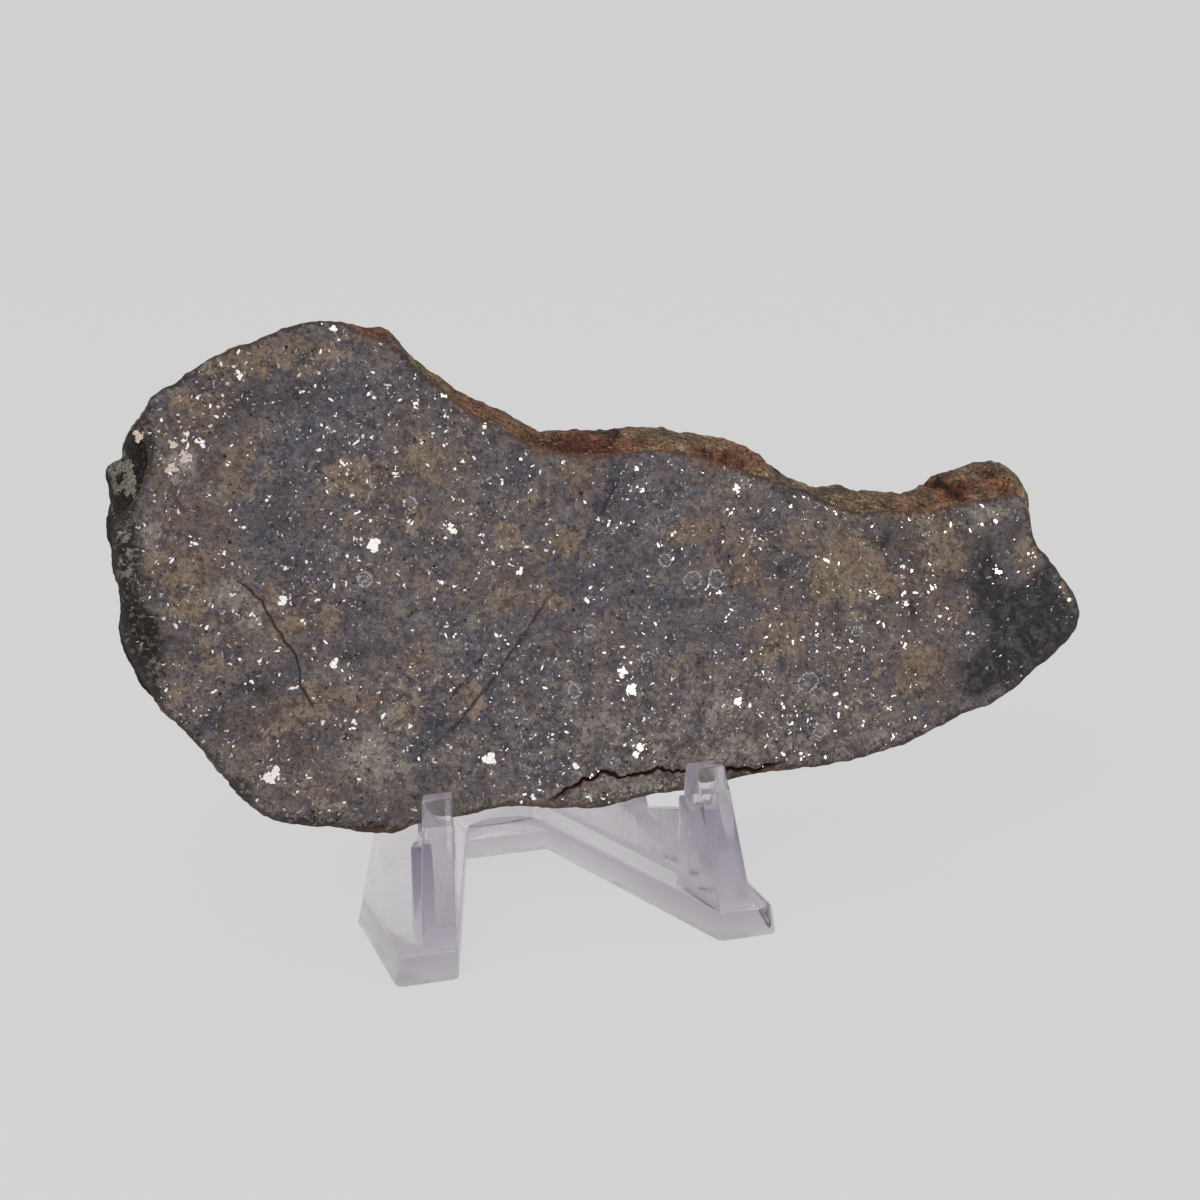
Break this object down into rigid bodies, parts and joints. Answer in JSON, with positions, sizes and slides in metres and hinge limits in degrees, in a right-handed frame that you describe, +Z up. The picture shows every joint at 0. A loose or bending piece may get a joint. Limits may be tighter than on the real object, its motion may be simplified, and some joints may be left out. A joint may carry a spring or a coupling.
{
  "type": "chondrite meteorite slice on display stand",
  "caption": "Thick cut slice of chondrite meteorite with a rough natural edge, leaning back on a small clear moulded easel with hooks in front and plates behind",
  "frame": {"origin": "middle of the whole object's footprint, on the surface that the easel stands on", "axes": "+X along the slice, to the right as its cut front is seen; +Y towards the back, where the slice leans; +Z up"},
  "size_m": [0.1128, 0.046, 0.0682],
  "materials": {
    "cut_stone": "cut and lightly polished, with a rough natural edge",
    "clear_plastic": "clear, moulded, glossy"
  },
  "bodies": {
    "root": {"meteorite_slice": "cut_stone", "display_stand": "clear_plastic"}
  },
  "joints": []
}
